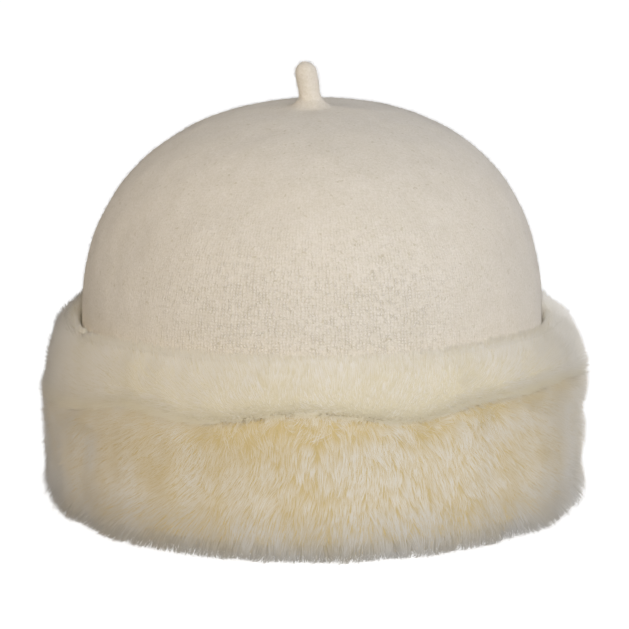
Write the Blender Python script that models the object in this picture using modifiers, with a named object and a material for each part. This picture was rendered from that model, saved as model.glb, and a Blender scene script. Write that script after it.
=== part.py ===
"""Beanie: a felted wool crown with a short stem on top and a turned-up cuff of deep fur.

The crown is a knitted and felted dome that runs down inside the cuff to its rim. The cuff is two
strips of fur sewn edge to edge: the nap of the upper strip lies upwards, over a rounded top, and the
nap of the lower strip lies downwards, to a hem that the hat rests on.

Metres, +Z up. The origin is on the floor, in the middle of the hat's outline. The front faces -Y.
"""

import math
import random

import bmesh
import bpy
import numpy as np
from mathutils import Vector

MM = 0.001

# The crown
OPENING_WIDTH = 170 * MM  # inside, from ear to ear
OPENING_DEPTH = 192 * MM  # inside, from forehead to nape
FELT_THICKNESS = 3 * MM
CROWN_HEIGHT = 151 * MM  # from the floor to the top of the dome
DOME_START = 70 * MM  # where the wall begins to curve in
RIM_HEIGHT = 4 * MM  # the crown's lower edge, above the floor
DOME_FULLNESS = 2.3  # exponent of the dome's outline, where 2 is an ellipse
DOME_LEAN = 3 * MM  # how far the top of the dome leans to +X
CROWN_COLUMNS = 48
WALL_ROWS = 3
DOME_ROWS = 11

# The stem
STEM_HEIGHT = 16.5 * MM
STEM_DIAMETER = 8.2 * MM
STEM_FOOT_DIAMETER = 11 * MM
STEM_LEAN = 2.6 * MM  # how far the tip leans to -X
STEM_OFFSET = -0.5 * MM  # the foot's place along X, from the crown's middle
STEM_POINTS = 14

# The fur cuff
CUFF_HEIGHT = 78 * MM
FUR_DEPTH = 15.8 * MM  # how far the fur stands out from the crown
SHOULDER = 8 * MM  # height over which the lower strip swells out below the seam
HEM_RADIUS = 7 * MM  # outer lower edge of the lower strip
HEM_INNER_RADIUS = 2.5 * MM
SEAM_INSET = 2.6 * MM  # how deep the parting between the strips is
HEM_TAPER = 0.8 * MM  # how far the lower strip leans in towards its hem
LOCK_RELIEF = 1.3 * MM  # how far a lock of fur stands out
GROOVE_SHARE = 0.4  # depth of the groove beside a lock, as a share of the lock's relief
SEWING_GAP = 0.3 * MM  # between pieces that are sewn to each other
CUFF_COLUMNS = 120
LOCK_WIDTHS = (2, 3, 3, 4)  # in columns, groove included
LOCK_ROWS = 4  # rows of the mesh to a lock
LOCK_ROOT_SHARE = 0.35  # relief at a lock's root, as a share of that at its tip
LOCK_STRENGTHS = (0.4, 1.15)  # weakest and strongest lock, as shares of the relief
RELIEF_FADE_ROWS = 2  # rows over which the relief fades out beside the seam and at the far edge
LOCK_SEED = 11

# The cuff all round. Columns: angle in degrees, where -90 is the front; height of the seam and of the
# top, as shares of CUFF_HEIGHT; depth of the fur, as a share of FUR_DEPTH.
CUFF_STATIONS = (
    (-180, 0.52, 0.94, 0.91),
    (-160, 0.55, 0.95, 0.94),
    (-143, 0.62, 0.97, 0.97),
    (-131, 0.70, 0.98, 0.99),
    (-119, 0.64, 0.99, 1.00),
    (-104, 0.68, 1.00, 1.01),
    (-93, 0.73, 1.00, 1.00),
    (-79, 0.69, 1.00, 1.01),
    (-66, 0.64, 1.00, 1.02),
    (-57, 0.72, 0.99, 1.04),
    (-40, 0.71, 0.98, 1.07),
    (-22, 0.71, 0.95, 1.07),
    (-4, 0.62, 0.92, 1.05),
    (25, 0.66, 0.94, 1.02),
    (60, 0.70, 0.98, 1.00),
    (92, 0.66, 1.00, 0.99),
    (125, 0.69, 0.98, 1.00),
    (155, 0.60, 0.96, 0.95),
)

# Creases that run round the cuff. Columns: first and last angle in degrees; height at each, as shares
# of CUFF_HEIGHT; width up and down, as a share of CUFF_HEIGHT; depth, as a share of FUR_DEPTH.
CREASES = (
    (-86, 4, 0.57, 0.46, 0.045, 0.13),
    (-196, -160, 0.62, 0.64, 0.045, 0.11),
    (30, 84, 0.50, 0.56, 0.050, 0.10),
    (112, 150, 0.53, 0.47, 0.045, 0.09),
)

# Upright dents in the lower strip. Columns: angle in degrees; half width in degrees; depth, as a
# share of FUR_DEPTH.
UPRIGHT_DENTS = (
    (-166, 4, 0.13),
    (-149, 5, 0.15),
    (-112, 9, 0.05),
    (-71, 6, 0.06),
    (-44, 5, 0.09),
    (-17, 5, 0.06),
    (31, 6, 0.11),
    (74, 7, 0.08),
    (118, 6, 0.12),
    (152, 5, 0.09),
)

# Soft dents in the crown. Columns: angle in degrees; height, as a share of CROWN_HEIGHT; half width
# in degrees; half height, as a share of CROWN_HEIGHT; depth, as a share of OPENING_WIDTH.
CROWN_DENTS = (
    (-150, 0.70, 16, 0.10, 0.015),
    (-118, 0.84, 26, 0.06, 0.013),
    (-20, 0.66, 14, 0.10, 0.010),
    (-63, 0.68, 18, 0.08, -0.008),
    (58, 0.72, 22, 0.10, 0.016),
    (128, 0.64, 18, 0.13, 0.016),
)


def bell(distance, half_width):
    """A smooth bump, 1 in the middle and near 0 past its half width."""
    return math.exp(-((distance / half_width) ** 2))


def turn_between(angle, other):
    """The turn from one angle to the other, in degrees, from -180 to 180."""
    return (angle - other + 180) % 360 - 180


def oval(angle, outset):
    """Point and outward direction on the head's oval, outset beyond the opening."""
    turn = math.radians(angle)
    half_width, half_depth = OPENING_WIDTH / 2, OPENING_DEPTH / 2
    point = Vector((half_width * math.cos(turn), half_depth * math.sin(turn), 0))
    outward = Vector((math.cos(turn) / half_width, math.sin(turn) / half_depth, 0)).normalized()
    return point + outward * outset, outward


def cuff_station(angle):
    """Seam height, top height and fur depth at an angle, in metres."""
    table = np.array(CUFF_STATIONS)
    shares = [
        np.mean([np.interp(angle + step, table[:, 0], table[:, k], period=360) for step in (-5, 0, 5)])
        for k in (1, 2, 3)
    ]
    return shares[0] * CUFF_HEIGHT, shares[1] * CUFF_HEIGHT, shares[2] * FUR_DEPTH


def arc(centre, radii, start, end, count):
    """Points of an elliptical arc in a section, from one angle to another, both ends included."""
    turns = [math.radians(start + (end - start) * k / (count - 1)) for k in range(count)]
    return [(centre[0] + radii[0] * math.cos(t), centre[1] + radii[1] * math.sin(t)) for t in turns]


def line(start, end, count):
    """Points along a straight line in a section, without its last one."""
    return [
        (start[0] + (end[0] - start[0]) * k / count, start[1] + (end[1] - start[1]) * k / count)
        for k in range(count)
    ]


def upper_section(angle):
    """The upper strip's section: (distance from the crown, height) up the outside and down the inside."""
    seam, top, depth = cuff_station(angle)
    seam += SEWING_GAP / 2
    roll = SEAM_INSET * 1.5
    swell = arc((depth - SEAM_INSET, seam + roll), (SEAM_INSET, roll), -90, 0, 3)
    crest = arc((0, seam + roll), (depth, top - seam - roll), 0, 90, 10)[1:]
    back = line((0, (seam + top) / 2), (0, seam), 1)
    face = line((0, seam), swell[0], 2)
    return swell + crest + back + face


def lower_section(angle):
    """The lower strip's section: up the outside from its flat hem, and down the inside."""
    seam, _, depth = cuff_station(angle)
    seam -= SEWING_GAP / 2
    foot = depth - HEM_TAPER
    edge = arc((foot - HEM_RADIUS, HEM_RADIUS), (HEM_RADIUS, HEM_RADIUS), -90, 0, 4)
    side = line((foot, HEM_RADIUS), (depth, seam - SHOULDER), 7)[1:]
    shoulder = arc((depth - SEAM_INSET, seam - SHOULDER), (SEAM_INSET, SHOULDER), 0, 90, 4)
    face = line(shoulder[-1], (0, seam), 2)[1:]
    back = line((0, seam), (0, HEM_INNER_RADIUS), 2)
    inner_edge = arc((HEM_INNER_RADIUS, HEM_INNER_RADIUS), (HEM_INNER_RADIUS,) * 2, 180, 270, 2)
    hem = line((HEM_INNER_RADIUS, 0), (foot - HEM_RADIUS, 0), 2)[1:]
    return edge + side + shoulder + face + back + inner_edge + hem


def band_of_locks(choose):
    """The relief of each column round one band: locks of different width and strength, grooves between."""
    band = []
    while len(band) < CUFF_COLUMNS:
        strength = choose.uniform(*LOCK_STRENGTHS)
        band.append(-GROOVE_SHARE * strength)
        band.extend(strength * choose.uniform(0.7, 1) for _ in range(choose.choice(LOCK_WIDTHS) - 1))
    return band[:CUFF_COLUMNS]


def lock_relief(column, row, bands):
    """How far fur locks stand out at a place of the mesh: laid like shingles, tips at the end of each."""
    band, along = divmod(row, LOCK_ROWS)
    share = LOCK_ROOT_SHARE + (1 - LOCK_ROOT_SHARE) * along / (LOCK_ROWS - 1)
    return LOCK_RELIEF * bands[band][column] * share


def crease_depth(angle, height):
    """How far the creases press the fur in at a place."""
    depth = 0.0
    for first, last, height_first, height_last, width, share in CREASES:
        middle, half = (first + last) / 2, (last - first) / 2
        turn = turn_between(angle, middle)
        along = (turn + half) / (2 * half)
        fade = max(0.0, 1 - abs(2 * along - 1) ** 4)
        level = (height_first + (height_last - height_first) * along) * CUFF_HEIGHT
        depth += share * FUR_DEPTH * fade * bell(height - level, width * CUFF_HEIGHT)
    return depth


def upright_dent(angle):
    """How far the upright dents press the lower strip in at an angle."""
    return sum(
        share * FUR_DEPTH * bell(turn_between(angle, middle), width)
        for middle, width, share in UPRIGHT_DENTS
    )


def ring_from_sections(name, section, outer_rows, nap, dented):
    """A closed ring of fur round the crown, from a torus whose points move to the strip's sections.

    outer_rows is how many of a section's points, from its first, are fur that shows. nap is 1 where
    the locks' tips point up and -1 where they point down.
    """
    choose = random.Random(LOCK_SEED + nap)
    bands = [band_of_locks(choose) for _ in range(outer_rows // LOCK_ROWS + 1)]
    points_round = len(section(0))
    bpy.ops.mesh.primitive_torus_add(major_segments=CUFF_COLUMNS, minor_segments=points_round)
    ring = bpy.context.object
    ring.name = ring.data.name = name
    places = []
    for column in range(CUFF_COLUMNS):
        angle = 360 * column / CUFF_COLUMNS
        outline = np.array(section(angle))
        ahead, behind = np.roll(outline, -1, axis=0), np.roll(outline, 1, axis=0)
        along = (ahead - behind) / np.linalg.norm(ahead - behind, axis=1)[:, None]
        base, outward = oval(angle, FELT_THICKNESS + SEWING_GAP)
        for row, (distance, height) in enumerate(outline):
            from_seam = row if nap > 0 else outer_rows - 1 - row
            if from_seam in range(outer_rows):
                # The seam, the row next to it and the strip's far edge keep the bare section.
                free_rows = min(max(0, from_seam - 1), outer_rows - 1 - from_seam)
                fade = min(1.0, free_rows / RELIEF_FADE_ROWS)
                move = lock_relief(column, from_seam, bands) - crease_depth(angle, height)
                if dented:
                    move -= upright_dent(angle)
                distance += along[row][1] * move * fade
                height -= along[row][0] * move * fade
            places.append(base + outward * max(distance, 0.0) + Vector((0, 0, max(height, 0.0))))
    ring.data.vertices.foreach_set("co", [value for place in places for value in place])
    ring.data.shade_smooth()
    return ring


def crown_point(angle, climb):
    """A point of the crown's outer face: climb is 0 at the rim, 1 where the dome starts, 2 at its top."""
    if climb <= 1:
        spread, height, share = 1.0, RIM_HEIGHT + (DOME_START - RIM_HEIGHT) * climb, 0.0
    else:
        turn = math.radians(90 * (climb - 1))
        spread = max(0.0, math.cos(turn)) ** (2 / DOME_FULLNESS)
        share = math.sin(turn) ** (2 / DOME_FULLNESS)
        height = DOME_START + (CROWN_HEIGHT - DOME_START) * share
    side, outward = oval(angle, FELT_THICKNESS)
    # The dents fade out where the dome starts, so that the wall stays against the cuff.
    dent = min(1.0, 3 * share) * sum(
        depth
        * OPENING_WIDTH
        * bell(turn_between(angle, middle), wide)
        * bell(height / CROWN_HEIGHT - level, tall)
        for middle, level, wide, tall, depth in CROWN_DENTS
    )
    lean = Vector((DOME_LEAN * share**2, 0, 0))
    rise = Vector((0, 0, height - dent * share * 0.5))
    return side * spread - outward * dent * spread + lean + rise


def make_crown():
    """The dome of felted knitting, an open sheet wrapped into a bowl and given the felt's thickness."""
    rows = WALL_ROWS + DOME_ROWS
    sheet = bmesh.new()
    bmesh.ops.create_grid(sheet, x_segments=CROWN_COLUMNS, y_segments=rows, size=0.5)
    for vertex in sheet.verts:
        around, up = vertex.co.x + 0.5, round((vertex.co.y + 0.5) * rows)
        if up <= WALL_ROWS:
            climb = up / WALL_ROWS
        else:
            climb = 1 + (up - WALL_ROWS) / DOME_ROWS
        vertex.co = crown_point(360 * around, climb)
    bmesh.ops.remove_doubles(sheet, verts=sheet.verts, dist=0.1 * MM)
    mesh = bpy.data.meshes.new("crown")
    sheet.to_mesh(mesh)
    sheet.free()
    mesh.shade_smooth()
    crown = bpy.data.objects.new("crown", mesh)
    bpy.context.scene.collection.objects.link(crown)
    felt = crown.modifiers.new("felt", "SOLIDIFY")
    felt.thickness = FELT_THICKNESS
    felt.offset = -1
    return crown


def stem_radius(along):
    """The stem's radius: a flared foot, a slight swelling and a rounded tip. along runs from 0 to 1."""
    flare = (STEM_FOOT_DIAMETER - STEM_DIAMETER) / 2 * bell(along, 0.16)
    swelling = 1 + 0.05 * bell(along - 0.68, 0.25)
    tip_start = 1 - STEM_DIAMETER / 2 / STEM_HEIGHT
    past = max(0.0, (along - tip_start) / (1 - tip_start))
    return (STEM_DIAMETER / 2 * swelling + flare) * math.sqrt(max(0.04, 1 - past**2))


def make_stem():
    """The felted stem, a short bent cord with a rounded end that stands on the crown."""
    curve = bpy.data.curves.new("stem", "CURVE")
    curve.dimensions = "3D"
    curve.bevel_depth = 1
    curve.bevel_resolution = 4
    curve.use_fill_caps = True
    spline = curve.splines.new("POLY")
    spline.points.add(STEM_POINTS - 1)
    for k, point in enumerate(spline.points):
        # The points crowd towards the tip, where the radius changes most.
        along = math.sin(math.pi / 2 * k / (STEM_POINTS - 1))
        lean = -STEM_LEAN * along**1.5
        point.co = (STEM_OFFSET + lean, 0, CROWN_HEIGHT + SEWING_GAP + STEM_HEIGHT * along, 1)
        point.radius = stem_radius(along)
    stem = bpy.data.objects.new("stem", curve)
    bpy.context.scene.collection.objects.link(stem)
    return stem


def make_material(name, colour, roughness):
    """A plain Principled material."""
    material = bpy.data.materials.new(name)
    material.use_nodes = True
    shader = material.node_tree.nodes["Principled BSDF"]
    shader.inputs["Base Color"].default_value = (*colour, 1)
    shader.inputs["Roughness"].default_value = roughness
    shader.inputs["Metallic"].default_value = 0
    return material


def stand_at_origin(parts):
    """Parents the parts to an empty, moved so that the middle of their outline is over the origin."""
    beanie = bpy.data.objects.new("beanie", None)
    bpy.context.scene.collection.objects.link(beanie)
    for part in parts:
        part.parent = beanie
    bpy.context.view_layer.update()
    graph = bpy.context.evaluated_depsgraph_get()
    corners = [Vector(corner) for part in parts for corner in part.evaluated_get(graph).bound_box]
    for axis in (0, 1):
        values = [corner[axis] for corner in corners]
        beanie.location[axis] = -(min(values) + max(values)) / 2
    return beanie


def gather(beanie, parts):
    """Puts the whole hat in a collection of its own."""
    collection = bpy.data.collections.new("Beanie")
    bpy.context.scene.collection.children.link(collection)
    for thing in (beanie, *parts):
        for old in list(thing.users_collection):
            old.objects.unlink(thing)
        collection.objects.link(thing)


def main():
    for thing in list(bpy.data.objects):
        bpy.data.objects.remove(thing)
    felted_wool = make_material("felted_wool", (0.66, 0.61, 0.51), 0.95)
    upper_fur = make_material("upper_fur", (0.66, 0.61, 0.50), 0.9)
    lower_fur = make_material("lower_fur", (0.61, 0.52, 0.36), 0.9)

    crown = make_crown()
    stem = make_stem()
    upper_strip = ring_from_sections("upper_fur_strip", upper_section, 12, 1, False)
    lower_strip = ring_from_sections("lower_fur_strip", lower_section, 14, -1, True)

    parts = (crown, stem, upper_strip, lower_strip)
    for part, material in zip(parts, (felted_wool, felted_wool, upper_fur, lower_fur)):
        part.data.materials.append(material)
    beanie = stand_at_origin(parts)
    gather(beanie, parts)


main()
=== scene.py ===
"""Beanie with a fur cuff: a felted knit crown with a stem, and a turned-up cuff of two rows of fur.

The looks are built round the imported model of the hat. Sizes are in metres, the front faces -Y and +Z
is up. Each piece has an operator of its own, listed in the sidebar of the 3D view.
"""

import math
from typing import NamedTuple

import bmesh
import bpy
import numpy as np
from bpy.props import FloatProperty, FloatVectorProperty, IntProperty, PointerProperty
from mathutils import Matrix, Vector
from mathutils.bvhtree import BVHTree
from mathutils.kdtree import KDTree


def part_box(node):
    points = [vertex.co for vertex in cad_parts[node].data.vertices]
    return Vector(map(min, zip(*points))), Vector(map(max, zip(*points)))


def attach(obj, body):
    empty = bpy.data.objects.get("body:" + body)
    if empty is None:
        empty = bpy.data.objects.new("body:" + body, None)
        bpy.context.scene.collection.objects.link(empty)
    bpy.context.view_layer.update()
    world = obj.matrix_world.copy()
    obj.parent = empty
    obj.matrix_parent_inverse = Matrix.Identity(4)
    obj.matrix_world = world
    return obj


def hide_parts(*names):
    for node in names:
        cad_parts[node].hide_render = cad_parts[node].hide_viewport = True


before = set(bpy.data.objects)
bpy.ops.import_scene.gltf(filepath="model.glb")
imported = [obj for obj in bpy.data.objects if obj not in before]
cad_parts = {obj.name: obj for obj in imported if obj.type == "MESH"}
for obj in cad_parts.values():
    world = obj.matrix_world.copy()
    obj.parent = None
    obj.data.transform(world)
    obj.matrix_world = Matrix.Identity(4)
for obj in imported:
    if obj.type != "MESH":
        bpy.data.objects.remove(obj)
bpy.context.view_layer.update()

bl_info = {
    "name": "Beanie with a Fur Cuff",
    "version": (1, 0, 0),
    "blender": (4, 5, 0),
    "location": "View3D > Sidebar > Beanie",
    "description": "Builds a felted knit crown with a stem and a cuff of two rows of fur",
    "category": "Object",
}

MM = 0.001
CROWN_LOW, CROWN_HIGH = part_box("crown")
STEM_LOW, STEM_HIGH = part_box("stem")
CROWN_MIDDLE = (CROWN_LOW + CROWN_HIGH) / 2
CROWN_HALF = (CROWN_HIGH - CROWN_LOW) / 2
LEVEL_MIDDLE = np.array(CROWN_MIDDLE)[:2]
LEVEL_HALF = np.array(CROWN_HALF)[:2]
UP = np.array((0.0, 0.0, 1.0))

WELD = 0.01 * MM  # points nearer than this are one point
CLEARANCE = 0.2 * MM  # between the hairs and the crown's wall
FLOOR_GAP = 0.1 * MM  # between the hairs and the floor
MEAN_COVER = 0.45  # the stitch pattern's mean value
WOOL_IOR = 1.54
HAIR_IOR = 1.55

CROWN_COLUMNS = 300  # points in each ring of the crown's outer face
WALL_ROWS = 26
DOME_ROWS = 56
TOP_ROWS = 20
TOP_ANGLE = 80  # climb in degrees from which the dome's rows lie closer
HUB_SHARE = 0.42  # height of the dome rays' start, of the crown's height

EDGE_PLACES = 120  # directions in which a strip's edges are measured


def linear(code):
    """A colour written as sRGB hex digits, such as F4EEE2, as linear red, green and blue."""
    shares = [int(code[k : k + 2], 16) / 255 for k in (0, 2, 4)]
    return [s / 12.92 if s <= 0.04045 else ((s + 0.055) / 1.055) ** 2.4 for s in shares]


def length(name, description, default):
    """A length that a user can change, in metres."""
    return FloatProperty(
        name=name, description=description, default=default, min=0, subtype="DISTANCE", unit="LENGTH"
    )


def angle(name, description, degrees):
    """An angle that a user can change, in radians."""
    return FloatProperty(
        name=name,
        description=description,
        default=math.radians(degrees),
        subtype="ANGLE",
        unit="ROTATION",
    )


def amount(name, description, default, **limits):
    """A plain number that a user can change."""
    return FloatProperty(name=name, description=description, default=default, **limits)


def number(name, description, default):
    """A whole number that a user can change."""
    return IntProperty(name=name, description=description, default=default, min=0)


def colour(name, description, code):
    """A colour that a user can change."""
    return FloatVectorProperty(
        name=name, description=description, default=linear(code), min=0, max=1, subtype="COLOR"
    )


class CrownSettings(bpy.types.PropertyGroup):
    """Sizes and colours of the felted crown and its stem."""

    stitch_width: length("Stitch width", "Width of a column of knit stitches", 1.3 * MM)
    stitch_height: length("Stitch height", "Height of a row of knit stitches", 1.05 * MM)
    stitch_relief: length("Stitch relief", "How far the felted stitches stand out", 0.25 * MM)
    felt_lumps: length("Felt lumps", "How uneven the felted cloth is", 0.12 * MM)
    mottle_size: length("Mottle size", "Size of the felt's soft patches", 7 * MM)
    grain_size: length("Grain size", "Size of the felt's fine grain", 0.9 * MM)
    speck_size: length("Speck size", "Distance between the felt's darker specks", 2 * MM)
    foot_radius: length("Foot radius", "How far the stem's foot spreads over the crown", 10 * MM)
    foot_height: length("Foot height", "How high the spread foot rises up the stem", 4 * MM)
    fibre_length: length("Fibre length", "Length of the loose wool fibres", 2.6 * MM)
    fibre_width: length("Fibre width", "Width of a loose wool fibre", 0.07 * MM)
    fibres: number("Fibres", "Number of loose wool fibres", 90000)
    stem_fibres: number("Stem fibres", "Number of loose fibres on the stem", 3000)
    wool: colour("Wool", "Colour of the felted wool", "E3DBCF")
    # The darker tone of the felt's mottle, grain and specks, and also the colour of the painted shade
    # between the stitches.
    dark_wool_and_stitch_shade: colour("Wool in the gaps", "Colour between the stitches", "CBC1AC")


class UpperFurSettings(bpy.types.PropertyGroup):
    """Sizes and colours of the cuff's upper row of fur, combed upwards."""

    hair_width: length("Hair width", "Width of a guard hair", 0.16 * MM)
    skin_depth: length("Skin depth", "Depth of the roots below the fur's outline", 4.2 * MM)
    tuft_size: length("Tuft size", "Distance between small tufts", 2.4 * MM)
    lock_size: length("Lock size", "Distance between broad locks", 12 * MM)
    rumple: amount("Rumple", "How far the coat falls into tufts", 0.25, min=0, max=1)
    rumple_angle: angle("Rumple angle", "Where the coat falls into tufts most", -78)
    hairs: number("Guard hairs", "Number of guard hairs", 37000)
    underhairs: number("Underhairs", "Number of short hairs", 180000)
    patches: amount("Patches", "How far the colour changes between patches", 0.12, min=0)
    # Also painted crease shade: the roots' darker yellow is drawn into the seam.
    seam_roots_and_shade: amount("Roots at the seam", "How far the roots' colour shows there", 1.8, min=0)
    tip: colour("Tips", "Colour of the hairs' tips", "EAE4D9")
    root: colour("Roots", "Colour of the hairs' roots", "DCD1B3")


class LowerFurSettings(bpy.types.PropertyGroup):
    """Sizes and colours of the cuff's lower row of fur, combed downwards."""

    hair_width: length("Hair width", "Width of a guard hair", 0.18 * MM)
    skin_depth: length("Skin depth", "Depth of the roots below the fur's outline", 4.6 * MM)
    tuft_size: length("Tuft size", "Distance between small tufts", 2.6 * MM)
    lock_size: length("Lock size", "Distance between broad locks", 9 * MM)
    rumple: amount("Rumple", "How far the coat falls into tufts", 0.8, min=0, max=1)
    rumple_angle: angle("Rumple angle", "Where the coat falls into tufts most", -75)
    hairs: number("Guard hairs", "Number of guard hairs", 38000)
    underhairs: number("Underhairs", "Number of short hairs", 190000)
    patches: amount("Patches", "How far the colour changes between patches", 0.28, min=0)
    # Also painted crease shade: the roots' darker yellow is drawn into the seam.
    seam_roots_and_shade: amount("Roots at the seam", "How far the roots' colour shows there", 0.6, min=0)
    tip: colour("Tips", "Colour of the hairs' tips", "DFD9CC")
    root: colour("Roots", "Colour of the hairs' roots", "D0BB88")


class StageSettings(bpy.types.PropertyGroup):
    """The camera, the floor and the lights."""

    elevation: angle("Elevation", "How steeply the camera looks down", 12.5)
    distance: length("Distance", "From the camera to the middle of the hat", 3.0)
    frame_width: length("Frame width", "Width of the picture at the hat", 0.2396)
    aim_height: length("Aim height", "Height of the point that the camera looks at", 0.0700)
    key_power: amount("Key light", "Power in watts", 29.5, min=0)
    side_power: amount("Side lights", "Power in watts", 11.0, min=0)
    back_power: amount("Back light", "Power in watts", 2.8, min=0)
    top_power: amount("Top light", "Power in watts", 6.5, min=0)
    sky: amount("Sky", "Strength of the light all round", 0.2, min=0)
    floor: colour("Floor", "Colour of the floor", "8C8C8C")


def unit(vectors):
    """Vectors of length 1."""
    return vectors / np.maximum(np.linalg.norm(vectors, axis=-1, keepdims=True), 1e-12)


def drift_field(wavelength, seed, waves=14):
    """A smooth random field: a function that gives each point a value of about -2 to 2."""
    choose = np.random.default_rng(seed)
    directions = unit(choose.normal(size=(waves, 3)))
    turns = 2 * math.pi / wavelength * choose.uniform(0.6, 1.4, waves)
    phases = choose.uniform(0, 2 * math.pi, waves)

    def field(points):
        return np.cos(points @ (directions * turns[:, None]).T + phases).sum(-1) / math.sqrt(waves / 2)

    return field


def smooth_step(values, low, high):
    """0 below low, 1 above high and a smooth rise between."""
    shares = np.clip((values - low) / (high - low), 0, 1)
    return shares * shares * (3 - 2 * shares)


def section_axes(points):
    """At each point, the hat's outward direction and the direction round it, both level."""
    level = (points[..., :2] - LEVEL_MIDDLE) / LEVEL_HALF**2
    outward = unit(np.concatenate([level, np.zeros_like(level[..., :1])], -1))
    around = np.stack([-outward[..., 1], outward[..., 0], np.zeros_like(outward[..., 0])], -1)
    return outward, around


def angle_of(points):
    """The angle of each point round the hat, in degrees, where -90 is the front."""
    return np.degrees(np.arctan2(points[..., 1] - CROWN_MIDDLE.y, points[..., 0] - CROWN_MIDDLE.x))


def mesh_arrays(mesh):
    """A mesh's points, point normals and triangles."""
    points = np.empty(len(mesh.vertices) * 3, np.float32)
    mesh.vertices.foreach_get("co", points)
    normals = np.empty(len(mesh.vertices) * 3, np.float32)
    mesh.vertex_normals.foreach_get("vector", normals)
    mesh.calc_loop_triangles()
    corners = np.empty(len(mesh.loop_triangles) * 3, np.int32)
    mesh.loop_triangles.foreach_get("vertices", corners)
    points = points.reshape(-1, 3).astype(float)
    normals = normals.reshape(-1, 3).astype(float)
    return points, normals, corners.reshape(-1, 3)


def link(name, mesh, material):
    """An object for a mesh, smooth all over."""
    mesh.name = name
    mesh.materials.clear()
    mesh.materials.append(material)
    mesh.shade_smooth()
    piece = bpy.data.objects.new(name, mesh)
    bpy.context.scene.collection.objects.link(piece)
    return piece


def mesh_from_faces(name, points, *face_lists):
    """A mesh from an array of points and arrays of faces, one array for each number of corners."""
    mesh = bpy.data.meshes.new(name)
    mesh.vertices.add(len(points))
    mesh.vertices.foreach_set("co", np.asarray(points, np.float32).ravel())
    corners = np.concatenate([faces.ravel() for faces in face_lists])
    counts = np.concatenate([np.full(len(faces), faces.shape[1]) for faces in face_lists])
    mesh.loops.add(len(corners))
    mesh.loops.foreach_set("vertex_index", corners.astype(np.int32))
    mesh.polygons.add(len(counts))
    starts = np.concatenate([[0], np.cumsum(counts)[:-1]])
    mesh.polygons.foreach_set("loop_start", starts.astype(np.int32))
    mesh.update(calc_edges=True)
    mesh.validate()
    return mesh


def store(mesh, name, kind, values):
    """Keeps a value at each point of a mesh, for its material."""
    attribute = mesh.attributes.new(name, kind, "POINT")
    field = "vector" if kind == "FLOAT_VECTOR" else "value"
    attribute.data.foreach_set(field, np.asarray(values, np.float32).ravel())


def rounded_copy(node, levels):
    """The mesh of a CAD node with its triangles paired up and its facets rounded off."""
    work = bmesh.new()
    work.from_mesh(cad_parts[node].data)
    bmesh.ops.remove_doubles(work, verts=work.verts, dist=WELD)
    bmesh.ops.join_triangles(
        work,
        faces=work.faces,
        angle_face_threshold=math.radians(40),
        angle_shape_threshold=math.radians(60),
    )
    coarse = bpy.data.meshes.new(node + "_coarse")
    work.to_mesh(coarse)
    work.free()
    holder = bpy.data.objects.new("holder", coarse)
    bpy.context.scene.collection.objects.link(holder)
    smoother = holder.modifiers.new("smoother", "SUBSURF")
    smoother.levels = levels
    smoother.render_levels = levels
    bpy.context.view_layer.update()
    graph = bpy.context.evaluated_depsgraph_get()
    made = bpy.data.meshes.new_from_object(holder.evaluated_get(graph))
    bpy.data.objects.remove(holder)
    bpy.data.meshes.remove(coarse)
    return made


def add_node(tree, kind, inputs=None, **settings):
    """Adds a shader node. inputs gives each input a value or the output that it is linked to."""
    made = tree.nodes.new("ShaderNode" + kind)
    for name, value in settings.items():
        setattr(made, name, value)
    for place, value in (inputs or {}).items():
        if isinstance(value, bpy.types.NodeSocket):
            tree.links.new(value, made.inputs[place])
        else:
            made.inputs[place].default_value = value
    return made


def calculate(tree, operation, *values, clamp=False):
    """The result of a Math node."""
    inputs = dict(enumerate(values))
    return add_node(tree, "Math", inputs, operation=operation, use_clamp=clamp).outputs[0]


def remap(tree, value, low, high, start, end):
    """start where the value is low, end where it is high, and even steps between."""
    inputs = {0: value, 1: low, 2: high, 3: start, 4: end}
    return add_node(tree, "MapRange", inputs, clamp=True).outputs[0]


def noise(tree, place, size, detail, roughness=0.5, output="Fac"):
    """Smooth random values, in lumps of about the given size."""
    inputs = {"Vector": place, "Scale": 1 / size, "Detail": detail, "Roughness": roughness}
    return add_node(tree, "TexNoise", inputs).outputs[output]


def blend(tree, share, first, second):
    """The first colour where the share is 0 and the second where it is 1."""
    inputs = {0: share, "A": (*first, 1), "B": (*second, 1)}
    return add_node(tree, "Mix", inputs, data_type="RGBA").outputs["Result"]


def blank_material(name):
    """A new material, its node tree and its shader."""
    material = bpy.data.materials.new(name)
    material.use_nodes = True
    tree = material.node_tree
    return material, tree, tree.nodes["Principled BSDF"]


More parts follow.
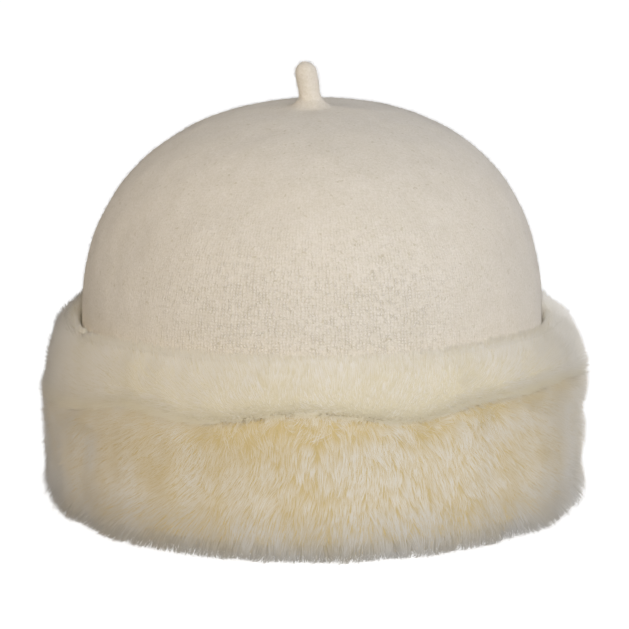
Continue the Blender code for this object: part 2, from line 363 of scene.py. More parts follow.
def felted_lambswool_knit(name, knitted):
    """Lambswool, knitted plain and fulled until it felts: matt, with mottling, specks and fine fuzz.

    Fulling half closes the stitches, so their columns show only low on the crown, as faint dotted
    lines, whose gaps are darkened with painted shade. The eye reads a dry, chalky surface with no
    gloss.
    """
    look = bpy.context.scene.beanie_crown
    grain_shade, grain_relief, gap_shade = 1.6, 0.9, 1.1
    material, tree, shader = blank_material(name)
    place = add_node(tree, "TexCoord").outputs["Object"]
    mottle = noise(tree, place, look.mottle_size, 4, 0.65)
    grain = noise(tree, place, look.grain_size, 3, 0.7)
    speck = remap(tree, noise(tree, place, look.speck_size, 1), 0.7, 0.76, 0.0, 1.0)
    shade = remap(tree, mottle, 0.35, 0.65, -0.5, -0.3)
    shade = calculate(tree, "MULTIPLY_ADD", grain, grain_shade, shade)
    shade = calculate(tree, "ADD", shade, speck)
    height = calculate(tree, "MULTIPLY", grain, grain_relief)
    if knitted:
        cover, shown = knit_pattern(tree, place)
        # Painted shade: the gaps between stitches are drawn darker and the legs lighter.
        gaps = calculate(tree, "SUBTRACT", MEAN_COVER, cover)
        gaps = calculate(tree, "MULTIPLY", gaps, shown)
        shade = calculate(tree, "MULTIPLY_ADD", gaps, gap_shade, shade, clamp=True)
        loops = calculate(tree, "MULTIPLY", cover, shown)
        height = calculate(tree, "ADD", loops, height)
    base = blend(tree, shade, look.wool, look.dark_wool_and_stitch_shade)
    tree.links.new(base, shader.inputs["Base Color"])
    bump = add_node(tree, "Bump", {"Height": height, "Distance": look.stitch_relief, "Strength": 1.0})
    tree.links.new(bump.outputs["Normal"], shader.inputs["Normal"])
    shader.inputs["Roughness"].default_value = 0.95
    shader.inputs["IOR"].default_value = WOOL_IOR
    shader.inputs["Specular IOR Level"].default_value = 0.25
    shader.inputs["Sheen Weight"].default_value = 0.35
    shader.inputs["Sheen Roughness"].default_value = 0.5
    return material


def knit_pattern(tree, place):
    """Plain knit stitches from the crown's map, whose unit is one stitch, as two values.

    The first is 1 on a stitch's legs and 0 in the gaps. The second is how far felting has left the
    stitches open: most low down at the front and back, and in patches.
    """
    wander = (1.3, 1.8, 0)  # how far felting shifts a stitch, in stitches
    slant = -1.2  # rise of a stitch's leg for each unit across
    dip = 0.8  # how much thinner a leg is at its ends
    closed_height, open_height = 134 * MM, 100 * MM
    open_aside, closed_aside = 30 * MM, 70 * MM

    wobble = noise(tree, place, 3 * MM, 1, output="Color")
    inputs = {0: wobble, 1: (0.5, 0.5, 0.5)}
    offset = add_node(tree, "VectorMath", inputs, operation="SUBTRACT").outputs[0]
    mapped = add_node(tree, "UVMap", uv_map="stitches").outputs["UV"]
    inputs = {0: offset, 1: wander, 2: mapped}
    mapped = add_node(tree, "VectorMath", inputs, operation="MULTIPLY_ADD").outputs[0]
    parts = add_node(tree, "SeparateXYZ", {0: mapped}).outputs
    across = calculate(tree, "PINGPONG", parts["X"], 0.5)
    column = calculate(tree, "SINE", calculate(tree, "MULTIPLY", across, math.pi))
    climb = calculate(tree, "MULTIPLY_ADD", across, slant, parts["Y"])
    loop = calculate(tree, "SINE", calculate(tree, "MULTIPLY", climb, math.pi))
    loop = calculate(tree, "ABSOLUTE", loop)
    loop = calculate(tree, "MULTIPLY_ADD", loop, dip, 1 - dip)
    cover = calculate(tree, "MULTIPLY", column, loop)

    position = add_node(tree, "SeparateXYZ", {0: place}).outputs
    low = remap(tree, position["Z"], closed_height, open_height, 0.12, 1.0)
    aside = calculate(tree, "ABSOLUTE", position["X"])
    middle = remap(tree, aside, open_aside, closed_aside, 1.0, 0.3)
    low = calculate(tree, "MULTIPLY", low, middle)
    patch = remap(tree, noise(tree, place, 1.8 * MM, 2), 0.35, 0.65, 0.1, 1.2)
    return cover, calculate(tree, "MULTIPLY", low, patch)


def combed_rabbit_fur(name, look):
    """Dense soft fur, tanned with its hair on and combed one way: pale tips over yellower wool.

    The coat is matt, because its hairs lie a little apart in direction and let some light through.
    The eye reads broad soft patches and deeper yellow where the coat parts, where its roots show and
    shade is painted into the crease at the seam and beside the crown. Painted shade makes the tips
    darker and greyer towards the hem.
    """
    patch_size = 20 * MM
    tuft_contrast = 0.35
    # Painted shade: below these heights the coat is drawn darker and greyer towards the hem.
    hem_low, painted_hem_shade_top, painted_hem_grey_top = 1 * MM, 22 * MM, 20 * MM
    through_share = 0.12  # of the light that falls on a hair
    material, tree, shader = blank_material(name)
    along = add_node(tree, "Attribute", attribute_name="along").outputs["Fac"]
    tone = add_node(tree, "Attribute", attribute_name="tone").outputs["Fac"]
    skin = add_node(tree, "Attribute", attribute_name="skin").outputs["Vector"]
    place = add_node(tree, "TexCoord").outputs["Object"]
    patch = noise(tree, place, patch_size, 3, 0.55)
    patch = remap(tree, patch, 0.35, 0.65, -look.patches, look.patches)
    share = calculate(tree, "ADD", remap(tree, along, 0.0, 0.8, 0.0, 1.0), patch)
    share = calculate(tree, "MULTIPLY_ADD", tone, tuft_contrast, share, clamp=True)
    height = add_node(tree, "SeparateXYZ", {0: place}).outputs["Z"]
    # Painted hem shade: value and saturation fall towards the floor.
    shade = remap(tree, height, hem_low, painted_hem_shade_top, 0.66, 1.0)
    strength = remap(tree, height, hem_low, painted_hem_grey_top, 0.55, 1.0)
    base = blend(tree, share, look.root, look.tip)
    inputs = {"Saturation": strength, "Value": shade, "Color": base}
    tint = add_node(tree, "HueSaturation", inputs).outputs["Color"]
    tree.links.new(tint, shader.inputs["Base Color"])
    tree.links.new(skin, shader.inputs["Normal"])
    through = add_node(tree, "BsdfTranslucent", {"Color": tint, "Normal": skin}).outputs["BSDF"]
    inputs = {0: through_share, 1: shader.outputs["BSDF"], 2: through}
    coat = add_node(tree, "MixShader", inputs).outputs[0]
    tree.links.new(coat, tree.nodes["Material Output"].inputs["Surface"])
    shader.inputs["Roughness"].default_value = 0.8
    shader.inputs["IOR"].default_value = HAIR_IOR
    shader.inputs["Specular IOR Level"].default_value = 0.2
    shader.inputs["Sheen Weight"].default_value = 1.0
    shader.inputs["Sheen Roughness"].default_value = 0.4
    shader.inputs["Sheen Tint"].default_value = (*linear("FFFCF6"), 1)
    return material


def dense_underwool(name, look):
    """The felty wool next to the skin, too fine and dense to see as hairs: matt, yellowish and soft."""
    clump_size, clump_relief = 1.2 * MM, 0.4 * MM
    darkest = [value * 0.9 for value in look.root]
    material, tree, shader = blank_material(name)
    place = add_node(tree, "TexCoord").outputs["Object"]
    clumps = noise(tree, place, clump_size, 3)
    tree.links.new(blend(tree, clumps, darkest, look.root), shader.inputs["Base Color"])
    bump = add_node(tree, "Bump", {"Height": clumps, "Distance": clump_relief, "Strength": 1.0})
    tree.links.new(bump.outputs["Normal"], shader.inputs["Normal"])
    shader.inputs["Roughness"].default_value = 1.0
    shader.inputs["IOR"].default_value = HAIR_IOR
    shader.inputs["Specular IOR Level"].default_value = 0.1
    return material


def weighed(mesh, share):
    """A mesh's points, normals and triangles, and each triangle's area times its share."""
    points, normals, corners = mesh_arrays(mesh)
    a, b, c = (points[corners[:, k]] for k in range(3))
    area = np.linalg.norm(np.cross(b - a, c - a), axis=1) / 2
    facing = unit(normals[corners].mean(axis=1))
    return points, normals, corners, area * share((a + b + c) / 3, facing)


def scatter(mesh, count, choose, share):
    """Random roots on a mesh and the normals there. share says how thickly they stand."""
    points, normals, corners, weight = weighed(mesh, share)
    picked = corners[choose.choice(len(corners), count, p=weight / weight.sum())]
    u, v = choose.random((2, count))
    over = u + v > 1
    u[over], v[over] = 1 - u[over], 1 - v[over]
    shares = np.stack([1 - u - v, u, v], axis=1)[:, :, None]
    return (points[picked] * shares).sum(axis=1), unit((normals[picked] * shares).sum(axis=1))


class Layer(NamedTuple):
    """How one kind of hair grows out of the skin."""

    lift: float  # degrees above the skin at the root
    rest: float  # degrees above the skin at the tip
    reach: tuple  # least and greatest height of the tip, as shares of the coat's depth
    pull: float  # how far a hair bends to the guide hair beside it
    steps: int = 4  # points along the hair
    width: float = 1.0  # as a share of a guard hair's


LOCKS = Layer(40, 15, (0.9, 1.1), 0)
TUFTS = Layer(42, 15, (0.8, 1.1), 0.5)
UNDERHAIRS = Layer(78, 68, (0.65, 1.0), 0.4, steps=2, width=0.9)
GUARD_HAIRS = Layer(74, 56, (0.75, 1.1), 0.6)


def grow(roots, normals, flow, lengths, lift, rest, steps):
    """Centre lines of hairs: each leaves the skin at its lift angle and lies down to its rest angle."""
    line = [roots]
    for k in range(steps - 1):
        share = (k + 0.5) / (steps - 1)
        turn = (lift * (1 - share) + rest * share)[:, None]
        step = flow * np.cos(turn) + normals * np.sin(turn)
        line.append(line[-1] + step * lengths[:, None] / (steps - 1))
    return np.stack(line, axis=1)


def pull_together(lines, guides, strength):
    """Bends each hair's end towards the nearest guide hair, so that the coat falls into tufts."""
    tree = KDTree(len(guides))
    for k, root in enumerate(guides[:, 0]):
        tree.insert(root, k)
    tree.balance()
    nearest = np.array([tree.find(root)[1] for root in lines[:, 0]])
    shares = np.linspace(0, 1, lines.shape[1]) ** 1.5
    pull = shares[None, :, None] * np.reshape(strength, (-1, 1, 1))
    return lines + (guides[nearest] - lines) * pull, nearest


def keep_above(lines, floor):
    """Bends hairs that would reach below their own floor heights."""
    drop = lines[:, 0, 2] - lines[:, 1:, 2].min(axis=1)
    room = np.maximum(lines[:, 0, 2] - floor, 0)
    share = np.where(drop > room, room / np.maximum(drop, 1e-9), 1)
    bent = lines.copy()
    bent[..., 2] = lines[:, :1, 2] + (lines[..., 2] - lines[:, :1, 2]) * share[:, None]
    bent[..., 2] = np.maximum(bent[..., 2], FLOOR_GAP)
    return bent


def settle(lines, outline, stray):
    """Presses hairs down to the fur's outline, except for how far each may stray from it."""
    settled = lines.copy()
    for k in range(1, lines.shape[1]):
        for row, (point, most) in enumerate(zip(lines[:, k], stray)):
            place, normal, _, _ = outline.find_nearest(Vector(point))
            over = (Vector(point) - place).dot(normal) - most
            if over > 0:
                settled[row, k] = point - np.array(normal) * over
    return settled


def keep_outside(lines):
    """Pushes hairs out of the crown, to lie along its wall."""
    level = lines[..., :2] - LEVEL_MIDDLE
    wall = LEVEL_HALF + CLEARANCE
    share = np.maximum(np.linalg.norm(level / wall, axis=-1, keepdims=True), 1e-6)
    level = level * np.maximum(1, 1 / share)
    return np.concatenate([LEVEL_MIDDLE + level, lines[..., 2:]], axis=-1)


def ribbons(name, lines, normals, width, choose, material, tones, shading=None, even=0.0, roll=0.6):
    """One piece of tapered ribbons, one to a hair: pairs of points along it and one at its tip.

    even is how far each hair takes one colour from root to tip, and roll how far it turns about
    itself.
    """
    follow = 0.12  # how far the shading turns to a hair's own direction
    roundness = 0.2  # how far its two edges are shaded apart
    even_place = 0.6  # the place along a hair whose colour an even hair takes
    hairs, steps = lines.shape[:2]
    tangents = unit(np.gradient(lines, axis=1))
    flat = unit(np.cross(tangents, normals[:, None]))
    raised = unit(np.cross(flat, tangents))
    turn = choose.normal(0, roll, hairs)[:, None, None]
    across = flat * np.cos(turn) + raised * np.sin(turn)
    profile = np.linspace(0, 1, steps)
    swell = 4 * profile * (1 - profile)
    half_width = width[:, None, None] / 2 * (0.75 + 0.5 * swell)[None, :, None]
    left, right = lines - across * half_width, lines + across * half_width
    pairs = np.stack([left[:, :-1], right[:, :-1]], axis=2).reshape(hairs, -1, 3)
    points = np.concatenate([pairs, lines[:, -1:]], axis=1)
    each = points.shape[1]
    first = (np.arange(hairs) * each)[:, None]
    quads = [first + 2 * k + np.array([[0, 1, 3, 2]]) for k in range(steps - 2)]
    tips = first + 2 * (steps - 2) + np.array([[0, 1, 2]])
    mesh = mesh_from_faces(name, points.reshape(-1, 3), *quads, tips)
    skin = (normals if shading is None else shading)[:, None] + follow * tangents
    aside = across[:, :-1] * roundness
    sides = np.stack([skin[:, :-1] - aside, skin[:, :-1] + aside], 2)
    skin = unit(np.concatenate([sides.reshape(hairs, -1, 3), skin[:, -1:]], axis=1)).reshape(-1, 3)
    along = np.concatenate([np.repeat(profile[:-1], 2), [1.0]])[None, :]
    even = np.reshape(even, (-1, 1))
    along = along + (even_place - along) * even + np.zeros((hairs, 1))
    store(mesh, "along", "FLOAT", along)
    store(mesh, "tone", "FLOAT", np.repeat(tones, each))
    store(mesh, "skin", "FLOAT_VECTOR", skin)
    piece = link(name, mesh, material)
    mesh.normals_split_custom_set_from_vertices(skin)
    piece.visible_shadow = False
    piece.visible_diffuse = False
    return piece


class Strip:
    """One row of fur on the cuff: its outline by angle, its skin and the way its hairs lie.

    nap is 1 where the hairs lie upwards and -1 where they lie downwards. lean is how far they turn
    round the hat.
    """

    swirl_size = 34 * MM  # over which the hairs turn from side to side
    sway_size = 11 * MM  # over which they turn again, less
    puff_size = 16 * MM  # over which the coat rises and sinks
    puff_height = 0.35 * MM
    seam_share = 0.25  # of the strip's height, where the coat bends out beside the seam
    hem_height = 16 * MM  # below which the coat loosens towards the hem
    skin_rise = 2.2 * MM  # of the skin's lower edge off the floor
    skin_rise_height = 12 * MM  # below which the skin rises

    def __init__(self, node, look, nap, lean, seed):
        self.node, self.look, self.nap, self.lean = node, look, nap, lean
        self.choose = np.random.default_rng(seed)
        self.low, self.high = self.edges()
        points, _, corners = mesh_arrays(rounded_copy(node, 1))
        self.outline = BVHTree.FromPolygons(points.tolist(), corners.tolist())
        self.swirl = drift_field(self.swirl_size, seed + 1)
        self.sway = drift_field(self.sway_size, seed + 2)
        self.puff = drift_field(self.puff_size, seed + 3)

    def edges(self):
        """Lowest and highest point of the CAD strip in each direction round the hat."""
        points = mesh_arrays(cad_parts[self.node].data)[0]
        place = np.round(angle_of(points) / 360 * EDGE_PLACES).astype(int) % EDGE_PLACES
        low = [points[place == k, 2].min() for k in range(EDGE_PLACES)]
        high = [points[place == k, 2].max() for k in range(EDGE_PLACES)]
        return np.array(low), np.array(high)

    def climb(self, points):
        """How far up the strip each point is, from 0 at its lower edge to 1 at its upper edge."""
        places = np.arange(EDGE_PLACES) * (360 / EDGE_PLACES)
        low = np.interp(angle_of(points), places, self.low, period=360)
        high = np.interp(angle_of(points), places, self.high, period=360)
        return (points[..., 2] - low) / (high - low)

    def near_seam(self, points):
        """1 at the seam between the strips, falling to 0 away from it."""
        from_seam = self.climb(points) if self.nap > 0 else 1 - self.climb(points)
        return 1 - smooth_step(from_seam, 0.0, self.seam_share)

    def outside(self, points, normals):
        """1 where fur shows and 0 on the faces sewn to the crown and the other strip."""
        outward, _ = section_axes(points)
        facing = (normals * outward).sum(-1)
        side = smooth_step(facing + 0.8 * self.near_seam(points), 0.05, 0.45)
        if self.nap > 0:
            top = smooth_step(normals[..., 2], 0.2, 0.6) * smooth_step(self.climb(points), 0.5, 0.7)
            return np.maximum(side, top)
        return side

    def near_hem(self, points):
        """1 at the hem, falling to 0 above it."""
        return (1 - smooth_step(points[..., 2], 0, self.hem_height)) * (self.nap < 0)

    def near_crown(self, points):
        """1 where the strip meets the crown, falling to 0 a few millimetres away."""
        gap = np.linalg.norm((points[..., :2] - LEVEL_MIDDLE) / LEVEL_HALF, axis=-1) - 1
        return 1 - smooth_step(gap, 0.01, 0.07)

    def worn_shoulder(self, points):
        """1 on top of the strip at the hat's sides, where the coat is pressed flat."""
        aside = smooth_step(np.abs(points[..., 0]), 68 * MM, 84 * MM)
        return aside * smooth_step(self.climb(points), 0.75, 0.95) * (self.nap > 0)

    def upright(self, points, normals):
        """The way that hairs stand up from the skin: square to it, but outwards at seam and hem."""
        outward, _ = section_axes(points)
        seam = self.near_seam(points)
        up = normals + (1.5 * seam + 1.5 * self.near_hem(points))[:, None] * outward
        up[:, 2] = np.where(up[:, 2] * self.nap < 0, up[:, 2] * (1 - seam), up[:, 2])
        return unit(up)

    def shading(self, points, normals):
        """The way that the coat faces the light: its soft tips even out the skin's own relief."""
        outward, _ = section_axes(points)
        own = 1 - 0.9 * self.near_seam(points)[:, None]
        even = 1.1 - 0.77 * self.near_hem(points)[:, None]
        return unit(normals * own + even * (outward + 0.4 * UP))

    def skin_mesh(self):
        """The strip's skin, sunk below the fur's outline where hair grows, and raised off the floor."""
        mesh = rounded_copy(self.node, 1)
        points, normals, _ = mesh_arrays(mesh)
        depth = self.outside(points, normals) * self.look.skin_depth
        sunk = points - self.upright(points, normals) * depth[:, None]
        if self.nap < 0:
            lifted = 1 - smooth_step(points[:, 2], 0, self.skin_rise_height)
            sunk[:, 2] += lifted * self.skin_rise
        mesh.vertices.foreach_set("co", sunk.astype(np.float32).ravel())
        mesh.update()
        return mesh

    def rumpled(self, points):
        """How far the coat has fallen into tufts, from 0 to 1: most where the look's angle points."""
        turned = np.cos(np.radians(angle_of(points)) - self.look.rumple_angle)
        share = 0.05 + 0.85 * smooth_step(turned, 0.75, 0.98) + 0.1 * self.swirl(points)
        return np.clip(share, 0, 1)

    def lines(self, roots, normals, layer):
        """Centre lines of hairs that lie with the nap, sway a little and end at the outline."""
        count = len(roots)
        least_height = 0.42  # of a hair's tip, as a share of its length
        _, around = section_axes(roots)
        parted = 1 - 1.8 * self.near_seam(roots) * self.choose.random(count)
        flow = unit(np.cross(normals, around)) * self.nap * parted[:, None]
        if self.nap > 0:
            flow = flow + 2 * self.near_crown(roots)[:, None] * UP
        lean = self.lean + 0.22 * self.swirl(roots) + 0.14 * self.sway(roots)
        lean = lean + self.choose.normal(0, 0.12, count)
        flow = unit(flow + around * lean[:, None])
        puff = 4 * self.puff(roots) + 12 * self.near_seam(roots) - 20 * self.near_hem(roots)
        lift = np.radians(layer.lift + puff + self.choose.normal(0, 5, count))
        rest = np.radians(layer.rest + puff + self.choose.normal(0, 5, count))
        made = grow(roots, normals, flow, np.ones(count), lift, rest, layer.steps)
        height = ((made[:, -1] - roots) * normals).sum(-1)
        longer = 1 + 0.9 * self.near_hem(roots) + 0.7 * self.near_seam(roots)
        reach = self.choose.uniform(*layer.reach, count) * longer
        lengths = self.depth(roots) * reach / np.maximum(height, least_height)
        return roots[:, None] + (made - roots[:, None]) * lengths[:, None, None]

    def depth(self, points):
        """How far the skin lies below the fur's outline."""
        return self.look.skin_depth + self.puff_height * self.puff(points)

    def roots_and_crease_shade(self, points):
        """How much more of the hairs' yellow roots shows beside seam and crown: partly roots where the
        coat parts, partly painted crease shade.
        """
        return self.look.seam_roots_and_shade * self.near_seam(points) + 1.2 * self.near_crown(points)

    def stray(self, roots):
        """How far hairs may stand off the fur's outline: more at hem and seam, less when pressed."""
        count = len(roots)
        loose = self.near_seam(roots) + 0.2 * self.near_crown(roots)
        stray = self.choose.uniform(0.2, 1.2, count)
        stray += self.near_hem(roots) * self.choose.uniform(0.5, 5, count)
        stray += loose * self.choose.uniform(0, 4, count) - 3.5 * self.worn_shoulder(roots)
        return stray * MM

    def grown(self, mesh, count, layer, guides):
        """Hairs on the strip's skin, pulled towards guide hairs where the coat is rumpled."""
        roots, facing = scatter(mesh, count, self.choose, lambda p, n: self.outside(p, n) + 1e-6)
        normals = self.upright(roots, facing)
        lines = self.lines(roots, normals, layer)
        nearest = np.zeros(count, int)
        if guides is not None:
            strength = layer.pull * self.rumpled(roots) * self.look.rumple
            strength = strength * self.choose.uniform(0.6, 1.2, count)
            skip = (guides.shape[1] - 1) // (layer.steps - 1)
            lines, nearest = pull_together(lines, guides[:, ::skip], strength)
        return lines, normals, self.shading(roots, facing), nearest

    def guides(self, mesh, spacing, layer, parents):
        """Guide hairs, a spacing apart on average."""
        *_, weight = weighed(mesh, self.outside)
        count = int(weight.sum() / spacing**2)
        return self.grown(mesh, count, layer, parents)[0]

    def coat(self, name, mesh, count, layer, guides, tuft_tones, fur):
        """One layer of the coat as one piece, kept to the fur's outline and off floor and crown."""
        lines, normals, shading, nearest = self.grown(mesh, count, layer, guides)
        roots = lines[:, 0]
        lines = settle(lines, self.outline, self.stray(roots))
        lines = keep_above(lines, self.choose.uniform(0.05, 1.0, count) * MM)
        lines = keep_outside(lines)
        rumpled = self.rumpled(roots)
        # Partly painted crease shade: beside the seam and the crown, hairs take more of their darker,
        # yellower root colour.
        tones = tuft_tones[nearest] * (0.08 + 0.92 * rumpled) - self.roots_and_crease_shade(roots)
        tones += self.choose.normal(0, 0.1, count)
        widths = self.look.hair_width * layer.width * self.choose.uniform(0.7, 1.3, count)
        even = 0.75 * (1 - rumpled)
        return ribbons(name, lines, normals, widths, self.choose, fur, tones, shading, even)

    def make(self, names):
        """The strip's skin, underhairs and guard hairs, as three pieces."""
        skin_name, guard_name, under_name = names
        look = self.look
        mesh = self.skin_mesh()
        fur = combed_rabbit_fur(guard_name + "_fur", look)
        skin = link(skin_name, mesh, dense_underwool(skin_name + "_wool", look))
        broad = self.guides(mesh, look.lock_size, LOCKS, None)
        fine = self.guides(mesh, look.tuft_size, TUFTS, broad)
        tuft_tones = self.choose.normal(0, 0.32, len(fine))
        under = self.coat(under_name, mesh, look.underhairs, UNDERHAIRS, fine, tuft_tones, fur)
        guard = self.coat(guard_name, mesh, look.hairs, GUARD_HAIRS, fine, tuft_tones, fur)
        for piece in (skin, under, guard):
            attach(piece, "root")
        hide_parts(self.node)


def crown_profile():
    """Starts and directions of rays that meet the crown, in rows from its rim to its top."""
    first_height = CROWN_LOW.z + 3 * MM
    hub = np.array((CROWN_MIDDLE.x, CROWN_MIDDLE.y, CROWN_HIGH.z * HUB_SHARE))
    turns = np.linspace(0, 2 * math.pi, CROWN_COLUMNS, endpoint=False)
    level = np.stack([np.cos(turns), np.sin(turns), np.zeros(CROWN_COLUMNS)], axis=1)
    starts, ways = [], []
    for height in np.linspace(first_height, hub[2], WALL_ROWS, endpoint=False):
        starts.append(np.tile((hub[0], hub[1], height), (CROWN_COLUMNS, 1)))
        ways.append(level)
    dome = np.linspace(0, TOP_ANGLE, DOME_ROWS, endpoint=False)
    top = np.linspace(TOP_ANGLE, 90, TOP_ROWS, endpoint=False)
    for rise in np.radians(np.concatenate([dome, top])):
        starts.append(np.tile(hub, (CROWN_COLUMNS, 1)))
        ways.append(level * math.cos(rise) + UP * math.sin(rise))
    return np.array(starts), np.array(ways), hub


def crown_surface(target, starts, ways, hub, outside):
    """Where the rays meet the crown's outer or inner face, and the point at its top."""
    far = 0.3  # metres, beyond the hat on every side

    def meet(start, way):
        if outside:
            return target.ray_cast(Vector(start + way * far), Vector(-way))[0]
        return target.ray_cast(Vector(start), Vector(way))[0]

    rows = [[meet(start, way) for start, way in zip(*row)] for row in zip(starts, ways)]
    top = meet(hub, UP)
    return np.array(rows, float), np.array(top, float)


def stem_foot(points, look):
    """How far the crown's felt is drawn up round the foot of the stem."""
    radius = (STEM_HIGH.y - STEM_LOW.y) / 2
    centre = np.array((STEM_HIGH.x - radius, (STEM_LOW.y + STEM_HIGH.y) / 2))
    away = np.linalg.norm(points[..., :2] - centre, axis=-1)
    highest = 0.7 * radius
    steepness = 2.4
    share = np.clip((look.foot_radius - away) / (look.foot_radius - highest), 0, 1)
    return look.foot_height * share**steepness * (points[..., 2] > CROWN_HIGH.z / 2)


def oval_length(half_width, half_depth):
    """A close value for the length round an oval."""
    root = math.sqrt((3 * half_width + half_depth) * (half_width + 3 * half_depth))
    return math.pi * (3 * (half_width + half_depth) - root)


def make_crown_mesh(look):
    """The crown as one closed shell, with a map of its stitches on the faces."""
    columns = CROWN_COLUMNS
    points, _, corners = mesh_arrays(rounded_copy("crown", 2))
    target = BVHTree.FromPolygons(points.tolist(), corners.tolist())
    starts, ways, hub = crown_profile()
    outer, top = crown_surface(target, starts, ways, hub, True)
    inner, inner_top = crown_surface(target, starts[::2], ways[::2], hub, False)
    outer[0, :, 2] = CROWN_LOW.z
    inner[0, :, 2] = CROWN_LOW.z
    broad, fine = drift_field(17 * MM, 21), drift_field(5 * MM, 22)
    lumps = look.felt_lumps * (broad(outer) + 0.35 * fine(outer)) / 1.4
    outer = outer + unit(outer - hub) * lumps[..., None]
    outer[..., 2] += stem_foot(outer, look)
    rows = np.concatenate([inner[::-1], outer])
    grid = np.arange(rows.shape[0] * columns).reshape(rows.shape[0], columns)
    beside = np.roll(grid, -1, axis=1)
    quads = np.stack([grid[:-1], beside[:-1], beside[1:], grid[1:]], axis=-1).reshape(-1, 4)
    inner_pole, outer_pole = rows.shape[0] * columns + np.arange(2)
    inner_cap = np.stack([beside[0], grid[0], np.full(columns, inner_pole)], axis=-1)
    outer_cap = np.stack([grid[-1], beside[-1], np.full(columns, outer_pole)], axis=-1)
    caps = np.concatenate([inner_cap, outer_cap])
    points = np.concatenate([rows.reshape(-1, 3), [inner_top, top]])
    mesh = mesh_from_faces("felted_crown", points, quads, caps)
    wales = round(oval_length(CROWN_HALF.x, CROWN_HALF.y) / look.stitch_width)
    climbs = np.linalg.norm(np.diff(rows, axis=0), axis=-1).mean(axis=1).cumsum()
    climbs = np.concatenate([[0], climbs]) / look.stitch_height
    u = np.arange(columns + 1) * wales / columns
    stitch_map = np.stack(np.broadcast_arrays(u[None, :], climbs[:, None]), axis=-1)
    row, after = stitch_map[:-1], stitch_map[1:]
    ring = np.stack([row[:, :-1], row[:, 1:], after[:, 1:], after[:, :-1]], axis=2).reshape(-1, 2)
    ends = np.zeros((caps.size, 2))
    layer = mesh.uv_layers.new(name="stitches")
    layer.data.foreach_set("uv", np.concatenate([ring, ends]).astype(np.float32).ravel())
    return mesh


def wool_fibres(name, mesh, count, look, choose, share, material):
    """Loose wool fibres that lie every way on a felted surface, some standing off it."""
    root_depth = 0.15 * MM
    roots, normals = scatter(mesh, count, choose, share)
    roots = roots - normals * root_depth
    way = unit(np.cross(normals, choose.normal(size=(count, 3))))
    lengths = look.fibre_length * choose.uniform(0.4, 1.3, count)
    lift = np.radians(choose.normal(32, 16, count))
    rest = np.radians(choose.normal(6, 18, count))
    lines = grow(roots, normals, way, lengths, lift, rest, 2)
    widths = look.fibre_width * choose.uniform(0.7, 1.3, count)
    tones = choose.normal(0.5, 0.2, count)
    return ribbons(name, lines, normals, widths, choose, material, tones)


def loose_lambswool(name):
    """Single fibres raised by fulling: too fine for gloss, they blur the felt's outline."""
    look = bpy.context.scene.beanie_crown
    material, tree, shader = blank_material(name)
    skin = add_node(tree, "Attribute", attribute_name="skin").outputs["Vector"]
    tree.links.new(skin, shader.inputs["Normal"])
    shader.inputs["Base Color"].default_value = (*look.wool, 1)
    shader.inputs["Roughness"].default_value = 0.9
    shader.inputs["IOR"].default_value = WOOL_IOR
    shader.inputs["Specular IOR Level"].default_value = 0.2
    return material


def make_stem_mesh(look):
    """The stem, a short felted cord, a little uneven all over."""
    mesh = rounded_copy("stem", 2)
    points, normals, _ = mesh_arrays(mesh)
    uneven = 0.5 * drift_field(6 * MM, 23)(points)
    points = points + normals * (look.felt_lumps * uneven)[:, None]
    mesh.vertices.foreach_set("co", points.astype(np.float32).ravel())
    mesh.update()
    return mesh


class BEANIE_OT_crown(bpy.types.Operator):
    """Build the felted knit crown and the loose fibres on it"""

    bl_idname = "beanie.crown"
    bl_label = "Crown"

    def execute(self, context):
        look = context.scene.beanie_crown
        choose = np.random.default_rng(31)
        mesh = make_crown_mesh(look)
        crown = link("felted_crown", mesh, felted_lambswool_knit("felted_lambswool_knit", True))
        bare_height = CROWN_LOW.z + 55 * MM  # the cuff hides the crown below
        centre = np.array((CROWN_MIDDLE.x, CROWN_MIDDLE.y, bare_height))

        def outside(points, normals):
            away = (normals * unit(points - centre)).sum(-1)
            return (away > 0.2) * (points[:, 2] > bare_height) + 1e-9

        wool = loose_lambswool("loose_lambswool")
        fuzz = wool_fibres("crown_fibres", mesh, look.fibres, look, choose, outside, wool)
        for piece in (crown, fuzz):
            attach(piece, "root")
        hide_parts("crown")
        return {"FINISHED"}


class BEANIE_OT_stem(bpy.types.Operator):
    """Build the felted stem, whose foot spreads into the crown"""

    bl_idname = "beanie.stem"
    bl_label = "Stem"

    def execute(self, context):
        look = context.scene.beanie_crown
        choose = np.random.default_rng(32)
        mesh = make_stem_mesh(look)
        stem = link("felted_stem", mesh, felted_lambswool_knit("felted_lambswool_stem", False))
        wool = bpy.data.materials["loose_lambswool"]

        def everywhere(points, normals):
            return np.ones(len(points))

        fuzz = wool_fibres("stem_fibres", mesh, look.stem_fibres, look, choose, everywhere, wool)
        for piece in (stem, fuzz):
            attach(piece, "root")
        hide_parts("stem")
        return {"FINISHED"}


class BEANIE_OT_upper_fur(bpy.types.Operator):
    """Build the cuff's upper row of fur, combed upwards over its rounded top"""

    bl_idname = "beanie.upper_fur"
    bl_label = "Upper fur"

    def execute(self, context):
        look = context.scene.beanie_upper_fur
        strip = Strip("upper_fur_strip", look, nap=1, lean=-0.25, seed=41)
        strip.make(("upper_underwool", "upper_guard_hairs", "upper_underhairs"))
        return {"FINISHED"}


class BEANIE_OT_lower_fur(bpy.types.Operator):
    """Build the cuff's lower row of fur, combed downwards to the hem"""

    bl_idname = "beanie.lower_fur"
    bl_label = "Lower fur"

    def execute(self, context):
        look = context.scene.beanie_lower_fur
        strip = Strip("lower_fur_strip", look, nap=-1, lean=-0.15, seed=51)
        strip.make(("lower_underwool", "lower_guard_hairs", "lower_underhairs"))
        return {"FINISHED"}


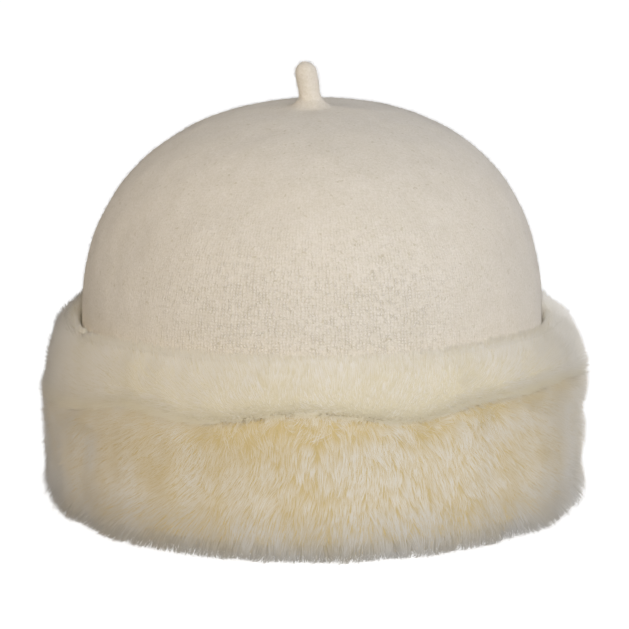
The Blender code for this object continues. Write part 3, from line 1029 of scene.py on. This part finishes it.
def painted_floor(look):
    """A seamless floor of matt white paint, which shows as an even pale ground."""
    material, tree, shader = blank_material("matt_white_paint")
    shader.inputs["Base Color"].default_value = (*look.floor, 1)
    shader.inputs["Roughness"].default_value = 0.9
    ray = add_node(tree, "LightPath").outputs["Is Camera Ray"]
    glow = calculate(tree, "MULTIPLY", ray, 0.9)
    shader.inputs["Emission Color"].default_value = (1, 1, 1, 1)
    tree.links.new(glow, shader.inputs["Emission Strength"])
    return material


def add_light(name, size, power, place, aim, tint="FFFFFF"):
    """A square soft light that points at a place."""
    data = bpy.data.lights.new(name, "AREA")
    data.color = linear(tint)
    data.size = size
    data.energy = power
    lamp = bpy.data.objects.new(name, data)
    lamp.location = place
    lamp.rotation_euler = (Vector(aim) - Vector(place)).to_track_quat("-Z", "Y").to_euler()
    bpy.context.scene.collection.objects.link(lamp)


class BEANIE_OT_stage(bpy.types.Operator):
    """Build the floor, the lights and the camera"""

    bl_idname = "beanie.stage"
    bl_label = "Stage"

    def execute(self, context):
        look = context.scene.beanie_stage
        scene = context.scene
        scene.view_settings.view_transform = "Standard"
        bpy.ops.mesh.primitive_plane_add(size=40)
        floor = context.object
        floor.name = "floor"
        floor.data.materials.append(painted_floor(look))

        scene.world = bpy.data.worlds.new("studio")
        scene.world.use_nodes = True
        tree = scene.world.node_tree
        back = tree.nodes["Background"]
        back.inputs["Color"].default_value = (*linear("FAFAFF"), 1)
        ray = add_node(tree, "LightPath").outputs["Is Camera Ray"]
        tree.links.new(remap(tree, ray, 0, 1, look.sky, 1.0), back.inputs["Strength"])

        aim = (0, 0, look.aim_height)
        left_power = look.side_power * 1.05  # the left side is a little brighter and warmer
        right_power = look.side_power * 0.85
        add_light("key", 1.1, look.key_power, (0.55, -2.1, 0.55), aim)
        add_light("left", 1.0, left_power, (-1.7, -0.7, 0.5), aim, "FFEED6")
        add_light("right", 1.0, right_power, (1.7, -0.5, 0.5), aim, "F8F5F8")
        add_light("back", 1.2, look.back_power, (-0.6, 1.7, 1.6), aim)
        add_light("top", 1.5, look.top_power, (0, -0.3, 2.0), aim)

        away = look.distance
        camera = bpy.data.objects.new("camera", bpy.data.cameras.new("camera"))
        scene.collection.objects.link(camera)
        level, rise = away * math.cos(look.elevation), away * math.sin(look.elevation)
        camera.location = (0, -level, look.aim_height + rise)
        camera.rotation_euler = (math.pi / 2 - look.elevation, 0, 0)
        camera.data.lens = camera.data.sensor_width * away / look.frame_width
        camera.data.clip_end = 100
        scene.camera = camera
        return {"FINISHED"}


class BEANIE_PT_panel(bpy.types.Panel):
    """The sidebar panel with a button for each piece and its settings"""

    bl_idname = "BEANIE_PT_panel"
    bl_label = "Beanie"
    bl_space_type = "VIEW_3D"
    bl_region_type = "UI"
    bl_category = "Beanie"

    def draw(self, context):
        for operator, settings in PANEL_ROWS:
            box = self.layout.box()
            look = getattr(context.scene, settings)
            for name in look.bl_rna.properties.keys():
                if name not in ("rna_type", "name"):
                    box.prop(look, name)
            box.operator(operator)


PANEL_ROWS = (
    ("beanie.crown", "beanie_crown"),
    ("beanie.stem", "beanie_crown"),
    ("beanie.upper_fur", "beanie_upper_fur"),
    ("beanie.lower_fur", "beanie_lower_fur"),
    ("beanie.stage", "beanie_stage"),
)

SETTINGS = {
    "beanie_crown": CrownSettings,
    "beanie_upper_fur": UpperFurSettings,
    "beanie_lower_fur": LowerFurSettings,
    "beanie_stage": StageSettings,
}

CLASSES = (
    *SETTINGS.values(),
    BEANIE_OT_crown,
    BEANIE_OT_stem,
    BEANIE_OT_upper_fur,
    BEANIE_OT_lower_fur,
    BEANIE_OT_stage,
    BEANIE_PT_panel,
)


def register():
    for one in CLASSES:
        bpy.utils.register_class(one)
    for name, settings in SETTINGS.items():
        setattr(bpy.types.Scene, name, PointerProperty(type=settings))


def unregister():
    for name in SETTINGS:
        delattr(bpy.types.Scene, name)
    for one in reversed(CLASSES):
        bpy.utils.unregister_class(one)


def main():
    register()
    bpy.ops.beanie.crown()
    bpy.ops.beanie.stem()
    bpy.ops.beanie.upper_fur()
    bpy.ops.beanie.lower_fur()
    bpy.ops.beanie.stage()


if __name__ == "__main__":
    main()
